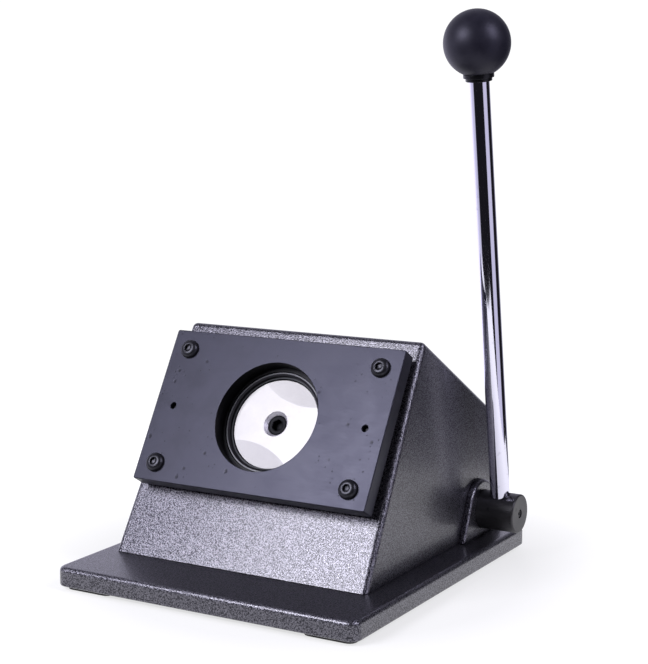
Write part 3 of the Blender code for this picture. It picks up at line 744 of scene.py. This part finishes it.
class CUTTER_OT_stage(bpy.types.Operator):
    """Camera, pale floor, white surroundings and soft lights"""

    bl_idname = "cutter.stage"
    bl_label = "Stage"

    def execute(self, context):
        studio = context.scene.cutter_studio
        context.scene.view_settings.view_transform = "Standard"
        self.camera(context, studio)
        self.floor()
        self.surroundings(context)
        self.lights(studio)
        return {"FINISHED"}

    def camera(self, context, studio):
        """A camera that looks at one point, from the direction and distance in the settings."""
        view = bpy.data.cameras.new("camera")
        view.lens, view.sensor_width, view.sensor_fit = studio.lens, 36, "AUTO"
        view.clip_end = 50
        turn, rise = studio.azimuth, studio.elevation
        towards = Vector((sin(turn) * cos(rise), -cos(turn) * cos(rise), sin(rise)))
        made = added("camera", view)
        made.location = Vector(LOOK_AT) + towards * studio.distance
        made.rotation_euler = towards.to_track_quat("Z", "Y").to_euler()
        context.scene.camera = made

    def floor(self):
        """A flat sheet, z = 0, under and around the object. It glows softly, more so away from the
        object, until it meets the white beyond it."""
        left, right, front, rear = FLOOR_EDGES
        corner = np.array([[left, front, 0], [right, front, 0], [right, rear, 0], [left, rear, 0]])
        made = mesh_object("floor", (corner, [[0, 1, 2, 3]]))

        def build(nodes):
            place = nodes.place()
            far = nodes.node("ShaderNodeVectorMath", {"operation": "LENGTH"}, {0: place}).outputs[1]
            glow = Value(nodes, far).above(0.16, 0.33)
            drift = nodes.noise(place, 3.0, 1.0)
            return {
                "Base Color": (0.26, 0.26, 0.26),
                "Roughness": 0.85 + drift * 0.1,
                "Emission Color": nodes.mix(glow, (0.68, 0.68, 0.685), (1.0, 1.0, 1.0)),
                "Emission Strength": 1.0,
            }

        made.data.materials.append(finish("pale_floor", build))

    def surroundings(self, context):
        """White where the camera looks past the object. For everything else, a dark studio that is
        bright behind on the left, low along the left, and in an upright strip on the right."""
        world = bpy.data.worlds.new("studio")
        context.scene.world = world
        world.use_nodes = True
        nodes = Nodes(world.node_tree)
        direction = nodes.node("ShaderNodeTexCoord").outputs["Generated"]
        split = nodes.node("ShaderNodeSeparateXYZ", None, {"Vector": direction})
        x, y, z = (Value(nodes, socket) for socket in split.outputs)
        behind = (y - x).above(0.5, 1.2)
        overhead = z.above(0.35, 0.9)
        low = 1 - z.above(0.05, 0.35)
        left = (0 - x).above(0.62, 0.72)
        off_side = (0 - y) / x
        across = off_side.above(-0.4, -0.3) * (1 - off_side.above(0.42, 0.48))
        strip = x.above(0.1, 0.2) * across
        strength = 0.014 + behind * 0.8 + overhead * 0.15 + (left + strip) * low * 0.9
        dim = {"Color": (0.84, 0.82, 1.0), "Strength": strength}
        white = {"Color": (1, 1, 1), "Strength": 1.05}
        dim, white = (nodes.node("ShaderNodeBackground", None, light) for light in (dim, white))
        seen = nodes.node("ShaderNodeLightPath").outputs["Is Camera Ray"]
        inputs = {0: seen, 1: dim.outputs[0], 2: white.outputs[0]}
        both = nodes.node("ShaderNodeMixShader", None, inputs)
        nodes.node("ShaderNodeOutputWorld", None, {"Surface": both.outputs[0]})

    def lights(self, studio):
        """Two soft rectangles, facing the middle of the housing."""
        aim = Vector((0, 0, 0.12))
        for name, place, width, height, watts, colour in SOFTBOXES:
            lamp = bpy.data.lights.new(name, "AREA")
            lamp.shape, lamp.size, lamp.size_y = "RECTANGLE", width, height
            lamp.energy, lamp.color = watts * studio.light, colour
            made = added(name, lamp)
            made.location = place
            made.rotation_euler = (Vector(place) - aim).to_track_quat("Z", "Y").to_euler()


# ---- the object ----


class CUTTER_OT_base(bpy.types.Operator):
    """Base plate with its rounded edges and bolt recesses, and the four rubber pads"""

    bl_idname = "cutter.base"
    bl_label = "Base and feet"

    def execute(self, context):
        size = BASE_HIGH - BASE_LOW
        lower_edge, corner_radius = 1.6 * MM, 8 * MM
        recess_radius, recess_depth = 7 * MM, 8.7 * MM
        rounding = context.scene.cutter_shape.base_rounding
        sides = edge_profile(0, size[2], lower_edge, rounding, 7)
        outline = rounded_rectangle(*size[:2], corner_radius, 10)
        origin = (BASE_MIDDLE_X, middle("base_plate")[1], BASE_LOW[2])
        recess = turned(hole(recess_radius, -1 * MM, recess_depth), 48)
        bolts = [middle(f"base_bolt_{place}") for place in FEET]
        holes = joined(*(shifted(recess, bolt[0], bolt[1], BASE_LOW[2]) for bolt in bolts))
        plate = shifted(slab(outline, sides), *origin)
        piece("base_slab", plate, "frame", hammertone(), ["base_plate"], [holes])
        for place in FEET:
            self.pad(place)
        return {"FINISHED"}

    def pad(self, place):
        """A thin pad with rounded corners and edges, filling its node's box."""
        node = f"foot_{place}"
        low, high = np.array(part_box(node))
        outline = rounded_rectangle(*(high - low)[:2], 6 * MM)
        pad = slab(outline, edge_profile(0, high[2], 0.7 * MM, 0.5 * MM, 4))
        pad = shifted(pad, *middle(node)[:2])
        piece(f"rubber_pad_{place}", pad, "frame", rubber(), [node])


class CUTTER_OT_housing(bpy.types.Operator):
    """Welded housing with rounded edges, and the bearing cheek on each side"""

    bl_idname = "cutter.housing"
    bl_label = "Housing and bearing cheeks"

    def execute(self, context):
        self.shell(context)
        for side, sign in (("left", -1), ("right", 1)):
            self.cheek(side, sign)
        return {"FINISHED"}

    def shell(self, context):
        """Front foot, ridge, rear top and rear foot in Y and Z, at both ends of a width that
        narrows with height. Open below; it is rounded, then given its wall."""
        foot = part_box("front_plate")[0].z
        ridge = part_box("top_plate")[1].z
        front_y, rear_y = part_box("front_plate")[0].y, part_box("rear_plate")[1].y
        ridge_y = front_y + (ridge - foot) * UP_SLOPE[1] / UP_SLOPE[2]
        rear_z = ridge - (rear_y - ridge_y) * tan(REAR_SLOPE)
        section = np.array([[front_y, foot], [ridge_y, ridge], [rear_y, rear_z], [rear_y, foot]])
        half = BODY_HALF - (section[:, 1] - BASE_TOP) * LEAN
        left = np.column_stack([BODY_X - half, section])
        right = np.column_stack([BODY_X + half, section])
        faces = [[0, 4, 5, 1], [1, 5, 6, 2], [2, 6, 7, 3], [0, 1, 2, 3], [7, 6, 5, 4]]
        made = mesh_object("housing_shell", (np.vstack([left, right]), faces))
        rounding = made.modifiers.new("rounding", "BEVEL")
        rounding.width = context.scene.cutter_shape.housing_rounding
        rounding.segments = 8
        rounding.limit_method = "NONE"
        wall = made.modifiers.new("wall", "SOLIDIFY")
        wall.thickness = WALL
        wall.offset = -1
        wall.use_even_offset = True
        settle(made)
        opening = put(turned(hole(PUNCH_RADIUS + 1.3 * MM, -12 * MM, 3 * MM)), PUNCH, SLOPE)
        bores = turned(hole(BUSH_BORE, -125 * MM, 125 * MM), 64)
        plates = ["front_plate", "top_plate", "rear_plate", "side_plate_left", "side_plate_right"]
        holes = joined(opening, put(bores, SHAFT, ACROSS))
        finished(made, "frame", hammertone(), plates, [holes])

    def cheek(self, side, sign):
        """Two straight sides run on from a round crown about the shaft. The plate leans with the
        housing's side."""
        node = f"bearing_cheek_{side}"
        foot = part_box(node)[0].z
        crown, half_foot, start = 23 * MM, 36.3 * MM, radians(152.8)
        turn = np.linspace(pi - start, start, 40)
        arc = SHAFT[1:] + crown * np.stack([np.cos(turn), np.sin(turn)], -1)
        corners = [[SHAFT[1] - half_foot, foot], [SHAFT[1] + half_foot, foot]]
        outline = softened(np.vstack([corners, arc]), [1 * MM, 1 * MM, *[6 * MM] * 40], 4, True)
        near = sign * (BODY_HALF + 0.3 * MM)
        far = near + sign * CHEEK
        low, high = min(near, far), max(near, far)
        rounds = (0.6 * MM, 2.3 * MM) if sign > 0 else (2.3 * MM, 0.6 * MM)
        plate = slab(outline, edge_profile(low, high, *rounds))
        points, faces = put(plate, (BODY_X, 0, 0), ACROSS)
        points[:, 0] -= sign * (points[:, 2] - BASE_TOP) * LEAN
        bore_low, bore_high = (80 * MM, 125 * MM) if sign > 0 else (-125 * MM, -80 * MM)
        bore = put(turned(hole(SHAFT_RADIUS + 0.25 * MM, bore_low, bore_high), 96), SHAFT, ACROSS)
        shape, paint = (points, faces), hammertone()
        piece(f"cheek_{side}", shape, "frame", paint, [node], [bore])


class CUTTER_OT_die(bpy.types.Operator):
    """Die plate, cutting ring, guide plate and the screws and dowels that hold them"""

    bl_idname = "cutter.die"
    bl_label = "Die"

    def execute(self, context):
        # The radius inside which the die is painted dark, as painted shade in its bore.
        bore_shade_radius = 42.6 * MM
        black = blackened("die_black", (0.024, 0.024, 0.036), 0.33, 0.7, (0.15, 1, 1), 0.1, bore_shade_radius)
        spots = [(x, y) for y in (-SCREW_Y, SCREW_Y) for x in (-SCREW_X, SCREW_X)]
        dowels = [(x, 0) for x in (-SCREW_X, SCREW_X)]
        outline = rounded_rectangle(2 * DIE_HALF, DIE_HEIGHT, 1.6 * MM, 6) + [0, DIE_RISE]
        sides = edge_profile(DIE_BACK, DIE_FACE, 0.5 * MM, 0.7 * MM)
        plate = put(slab(outline, sides), PUNCH, SLOPE)
        seat, wide, pocket, beyond = 39.8 * MM, 42.4 * MM, 7.3 * MM, 30 * MM
        bore = [(0, 0), (seat, 0), (seat, pocket), (wide, pocket)]
        bore += hole(wide, 0, beyond, 0.5 * MM, DIE_FACE)[2:]
        screw_hole = turned(hole(4.5 * MM, 0, beyond, 0.3 * MM, DIE_FACE), 48)
        dowel_hole = turned(hole(2.5 * MM, 0, beyond, 0.45 * MM, DIE_FACE), 48)
        holes = [turned(bore, 192)] + [shifted(screw_hole, x, y) for x, y in spots]
        holes += [shifted(dowel_hole, x, y) for x, y in dowels]
        cutters = [put(joined(*holes), PUNCH, SLOPE)]
        piece("die_face_plate", plate, "frame", black, ["die_plate"], cutters)
        self.ring()
        self.guide(spots, dowels)
        self.screws(spots)
        return {"FINISHED"}

    def ring(self):
        """A flat rim, inside which a cone falls to the cutting edge. The cone is coloured darker than the rim."""
        outer, inner, land, face = 39.5 * MM, 36.7 * MM, 38.3 * MM, 6.3 * MM
        path = [(outer, DIE_BACK), (outer, face), (land, face)]
        path += [(inner, DIE_BACK + 0.3 * MM), (inner, DIE_BACK)]
        profile = softened(path, [0.2 * MM, 0.3 * MM, 0.2 * MM, 0.1 * MM, 0.1 * MM], 4, True)
        cone = (land, (0.03, 0.029, 0.034), 0.4)
        steel = ground("ring_steel", (0.08, 0.08, 0.088), 0.38, inner=cone)
        shape = put(turned(profile, 192), PUNCH, SLOPE)
        piece("cutting_ring_ground", shape, "frame", steel, ["cutting_ring"])

    def guide(self, spots, dowels):
        """The plate behind the card slot, a little smaller than the die plate."""
        width, height = 2 * (DIE_HALF - 6 * MM), DIE_HEIGHT - 12 * MM
        outline = rounded_rectangle(width, height, 2 * MM, 5) + [0, DIE_RISE]
        black = blackened("guide_black", (0.03, 0.031, 0.035), 0.45, 0.5, (0.15, 1, 1))
        sides = edge_profile(0.3 * MM, 3.4 * MM, 0.4 * MM, 0.4 * MM)
        shape = put(slab(outline, sides), PUNCH, SLOPE)
        before, beyond = -5 * MM, 9 * MM
        screw_hole = turned(hole(4.4 * MM, before, beyond), 32)
        dowel_hole = turned(hole(2.6 * MM, before, beyond), 32)
        holes = [turned(hole(PUNCH_RADIUS + 0.5 * MM, before, beyond), 128)]
        holes += [shifted(screw_hole, x, y) for x, y in spots]
        holes += [shifted(dowel_hole, x, y) for x, y in dowels]
        cutters = [put(joined(*holes), PUNCH, SLOPE)]
        piece("card_guide", shape, "frame", black, ["guide_plate"], cutters)

    def screws(self, spots):
        """Four button heads on the die's face, and two dowels sunk below it."""
        black = blackened("screw_black", (0.022, 0.022, 0.028), 0.3, 0.7)
        for name, (x, y) in zip(CORNERS, spots):
            screw = socket_screw(7.3 * MM, 4.4 * MM, 4 * MM, 22.4 * MM, 5 * MM, 3.5 * MM)
            shape = put(shifted(screw, x, y, DIE_FACE + 0.1 * MM), PUNCH, SLOPE)
            node = f"die_screw_{name}"
            piece(f"button_screw_{name}", shape, "frame", black, [node])
        steel = ground("dowel_steel", (0.03, 0.03, 0.035), 0.4)
        radius, low, high = 2.2 * MM, -4.5 * MM, 13.9 * MM
        profile = softened([(0, low), (radius, low), (radius, high), (0, high)], 0.5 * MM, 4)
        for side, x in (("left", -SCREW_X), ("right", SCREW_X)):
            shape = put(shifted(turned(profile, 48), x), PUNCH, SLOPE)
            piece(f"dowel_{side}", shape, "frame", steel, [f"dowel_pin_{side}"])


class CUTTER_OT_punch(bpy.types.Operator):
    """Round punch with its two relieved sides, and the cap screw in its counterbore"""

    bl_idname = "cutter.punch"
    bl_label = "Punch"

    def execute(self, context):
        relief = context.scene.cutter_shape.punch_relief
        aside = np.array([cos(RELIEF_LEAN), sin(RELIEF_LEAN), 0]) @ SLOPE * RELIEF_AWAY
        colour, stretch, turn = (0.34, 0.332, 0.335), (1, 0.04, 1), (0, 0, radians(35))
        # Painted highlight: inside the counterbore the steel is painted nearly white and rougher, standing in for
        # light on its inward-facing wall.
        inner = (9.7 * MM, (0.8, 0.78, 0.85), 0.55)
        # Painted shade on the punch's two relieved sides, darker down left than up right.
        relief_shades = [(PUNCH + aside, RELIEF_REACH, 0.1), (PUNCH - aside, RELIEF_REACH, 0.27)]
        steel = ground("punch_steel", colour, 0.42, stretch, turn, 0.25, inner, relief_shades)
        bore, deep = 9.6 * MM, PUNCH_BACK + 3 * MM
        shape = put(self.punch(relief, bore, deep), PUNCH, SLOPE)
        piece("round_punch", shape, "ram", steel, ["punch"], sharp=1.2)
        screw = socket_screw(7.5 * MM, 10 * MM, 5 * MM, 24 * MM, 8 * MM, 0.8 * MM)
        black = blackened("cap_screw_black", (0.004, 0.004, 0.006), 0.5, 0.6)
        shape = put(shifted(screw, z=deep + 0.3 * MM), PUNCH, SLOPE)
        piece("punch_cap_screw", shape, "ram", black, ["punch_screw"])
        return {"FINISHED"}

    def punch(self, relief, bore, deep):
        """Rings of (radius, height) about the punch's line. On its face, the height falls inside
        two wide circles whose middles lie outside the punch, up right and down left, in even
        proportion to the depth inside them, and by the whole relief where the line to that
        circle's middle meets the rim."""
        sides = 192
        turn = np.arange(sides) * tau / sides
        edge, rim_round = 0.3 * MM, 0.25 * MM
        radii = np.linspace(bore + edge, PUNCH_RADIUS - rim_round, 60)
        x, y = radii[:, None] * np.cos(turn), radii[:, None] * np.sin(turn)
        across, up = RELIEF_AWAY * cos(RELIEF_LEAN), RELIEF_AWAY * sin(RELIEF_LEAN)
        deepest = RELIEF_REACH - (RELIEF_AWAY - PUNCH_RADIUS)
        fall = np.zeros_like(x)
        for sign in (1, -1):
            inside = np.maximum(RELIEF_REACH - np.hypot(x - sign * across, y - sign * up), 0)
            fall = np.maximum(fall, relief * inside / deepest)
        face = np.stack([x, y, PUNCH_FACE - fall], -1)
        counterbore, clearance, cone_foot = 7.8 * MM, 5.4 * MM, PUNCH_FACE - 2.7 * MM
        wall = [(bore, PUNCH_FACE - edge), (counterbore, cone_foot), (counterbore, deep)]
        wall += [(clearance, deep), (clearance, PUNCH_BACK)]
        wall += [(PUNCH_RADIUS - edge, PUNCH_BACK), (PUNCH_RADIUS, PUNCH_BACK + edge)]
        radius, height = (column[:, None] for column in np.array(wall).T)
        height = np.broadcast_to(height, (len(wall), sides))
        rings = np.stack([radius * np.cos(turn), radius * np.sin(turn), height], -1)
        grown = PUNCH_RADIUS / radii[-1]
        rim = face[-1] * [grown, grown, 1] - [0, 0, rim_round]
        points = np.concatenate([rings, rim[None], face[::-1]]).reshape(-1, 3)
        count = len(rings) + 1 + len(face)
        step = np.arange(sides)
        beyond = (step + 1) % sides
        top = (count - 1) * sides
        close = np.stack([top + step, top + beyond, beyond, step], -1).tolist()
        return points, strip(count, sides) + close


class CUTTER_OT_shaft(bpy.types.Operator):
    """Drive shaft with the lever's hole and the clamp screw in its end"""

    bl_idname = "cutter.shaft"
    bl_label = "Drive shaft"

    def execute(self, context):
        low, high = (corner.x - BODY_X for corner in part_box("drive_shaft"))
        start, end, floor = -114.7 * MM, -112.9 * MM, SHAFT_RADIUS - 1.5 * MM  # the clip's groove
        path = [(0, low), (SHAFT_RADIUS, low), (SHAFT_RADIUS, start), (floor, start)]
        path += [(floor, end), (SHAFT_RADIUS, end), (SHAFT_RADIUS, high), (0, high)]
        profile = softened(path, [0, 1.3 * MM, *[0.1 * MM] * 4, 1.3 * MM, 0], 6)
        black = blackened("shaft_black", (0.045, 0.044, 0.048), 0.33, 0.7, (0.05, 1, 1), 0.25)
        socket = put(turned(hole(ROD_RADIUS + 0.25 * MM, -8 * MM, 30 * MM), 64), ROD_FOOT, ROD)
        thread = put(turned(hole(3.4 * MM, ROD_FOOT[0] - BODY_X, high + 2 * MM), 48), SHAFT, ACROSS)
        shape = put(turned(profile, 128), SHAFT, ACROSS)
        made = piece("shaft", shape, "lever", black, ["drive_shaft"], [socket])
        finished(made, "lever", black, ["drive_shaft"], [thread])
        clamp = socket_screw(3 * MM, 5.5 * MM, 1.5 * MM, 0.6 * MM, 2.5 * MM, 0.4 * MM)
        shape = put(shifted(clamp, z=high - 6.2 * MM), SHAFT, ACROSS)
        piece("clamp_screw", shape, "lever", black, ["lever_clamp_screw"])
        return {"FINISHED"}


class CUTTER_OT_lever(bpy.types.Operator):
    """Plated rod, its stepped collar and the ball knob"""

    bl_idname = "cutter.lever"
    bl_label = "Lever and knob"

    def execute(self, context):
        collar_top, tip = KNOB_REACH - 21.6 * MM, KNOB_REACH - 2 * MM
        foot, spigot = -7 * MM, 6 * MM
        path = [(0, foot), (ROD_RADIUS, foot), (ROD_RADIUS, collar_top), (spigot, collar_top)]
        profile = softened([*path, (spigot, tip), (0, tip)], 0.8 * MM, 4)
        shape = put(turned(profile, 128), ROD_FOOT, ROD)
        piece("plated_rod", shape, "lever", chrome(), ["lever_rod"])
        self.collar(collar_top)
        self.knob(collar_top)
        return {"FINISHED"}

    def collar(self, top):
        """Two steps about the rod, with the wider one next to the knob."""
        bore, narrow, wide = ROD_RADIUS + 0.3 * MM, 9.65 * MM, 11.2 * MM
        low, step = KNOB_REACH - 27 * MM, KNOB_REACH - 24.5 * MM
        path = [(bore, low), (narrow, low), (narrow, step), (wide, step), (wide, top), (bore, top)]
        profile = softened(path, 0.35 * MM, 4, True)
        black = blackened("collar_black", (0.014, 0.014, 0.017), 0.28, 0.4, (1, 1, 0.2))
        shape = put(turned(profile, 96), ROD_FOOT, ROD)
        piece("stepped_collar", shape, "lever", black, ["knob_collar"])

    def knob(self, collar_top):
        """A sphere about the knob's middle, cut flat below where the collar meets it, and bored."""
        flat, flat_radius = collar_top + 0.3 * MM, 11.4 * MM
        start = -np.arccos(flat_radius / KNOB_RADIUS)
        turn = np.linspace(start, pi / 2, 64)
        ball = np.stack([KNOB_RADIUS * np.cos(turn), KNOB_REACH + KNOB_RADIUS * np.sin(turn)], -1)
        ball[-1, 0] = 0
        floor, bore = KNOB_REACH - 1.7 * MM, 6.3 * MM
        inside = [(0, floor), (bore, floor), (bore, flat), (10.8 * MM, flat)]
        shape = put(turned([*inside, *ball.tolist()], 128), ROD_FOOT, ROD)
        piece("knob", shape, "lever", knob_black(), ["ball_knob"])


class CUTTER_OT_works(bpy.types.Operator):
    """Return spring, and the finishes of the works that stay inside or underneath"""

    bl_idname = "cutter.works"
    bl_label = "Works"

    def execute(self, context):
        self.spring()
        finishes = {
            "blackened_steel": blackened("works_black", (0.03, 0.03, 0.035), 0.38, 0.4),
            "ground_steel": ground("works_steel", (0.7, 0.7, 0.72), 0.28),
            "bronze": bronze(),
            "spring_steel": spring_steel(),
            "hammertone": hammertone(),
            "rubber": rubber(),
            "chrome": chrome(),
            "knob_plastic": knob_black(),
        }
        for subpart in frame["record"]["subparts"]:
            for holder in frame["nodes"][subpart["node"]].material_slots:
                holder.material = finishes[subpart["material_slot"]]
        return {"FINISHED"}

    def spring(self):
        """A coil of round wire about the ram's line."""
        front, length, turns = -50.3 * MM, 38.4 * MM, 7.5
        wire, radius = 1.6 * MM, 20.5 * MM
        turn = np.linspace(0, turns, int(turns * 48) + 1)
        closed = 2 * wire + 0.3 * MM
        spread = length - 2 * wire - 2 * closed
        height = wire + closed * np.clip(turn, 0, 1) + closed * np.clip(turn - turns + 1, 0, 1)
        height += spread * np.clip((turn - 1) / (turns - 2), 0, 1)
        line = np.stack([radius * np.cos(tau * turn), radius * np.sin(tau * turn), height], -1)
        shape = put(tube_along(line, wire), PUNCH + (front - length) * OUT, SLOPE)
        steel = spring_steel()
        made = piece("spring_coil", shape, "frame", steel, ["return_spring"])
        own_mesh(made)


class CUTTER_PT_sidebar(bpy.types.Panel):
    """The cutter's pieces and settings"""

    bl_label = "Disc cutter"
    bl_idname = "CUTTER_PT_sidebar"
    bl_space_type = "VIEW_3D"
    bl_region_type = "UI"
    bl_category = "Disc Cutter"

    def draw(self, context):
        column = self.layout.column()
        for operator in OPERATORS:
            column.operator(operator.bl_idname)
        scene = context.scene
        for settings in (scene.cutter_finish, scene.cutter_shape, scene.cutter_studio):
            box = self.layout.box()
            for name in type(settings).__annotations__:
                box.prop(settings, name)


OPERATORS = (
    CUTTER_OT_stage,
    CUTTER_OT_base,
    CUTTER_OT_housing,
    CUTTER_OT_die,
    CUTTER_OT_punch,
    CUTTER_OT_shaft,
    CUTTER_OT_lever,
    CUTTER_OT_works,
)
CLASSES = (CutterFinish, CutterShape, CutterStudio, *OPERATORS, CUTTER_PT_sidebar)


def register():
    for each in CLASSES:
        bpy.utils.register_class(each)
    bpy.types.Scene.cutter_finish = PointerProperty(type=CutterFinish)
    bpy.types.Scene.cutter_shape = PointerProperty(type=CutterShape)
    bpy.types.Scene.cutter_studio = PointerProperty(type=CutterStudio)


def unregister():
    del bpy.types.Scene.cutter_finish, bpy.types.Scene.cutter_shape, bpy.types.Scene.cutter_studio
    for each in reversed(CLASSES):
        bpy.utils.unregister_class(each)


def main():
    register()
    for name in ("stage", "base", "housing", "die", "punch", "shaft", "lever", "works"):
        getattr(bpy.ops.cutter, name)()


if __name__ == "__main__":
    main()
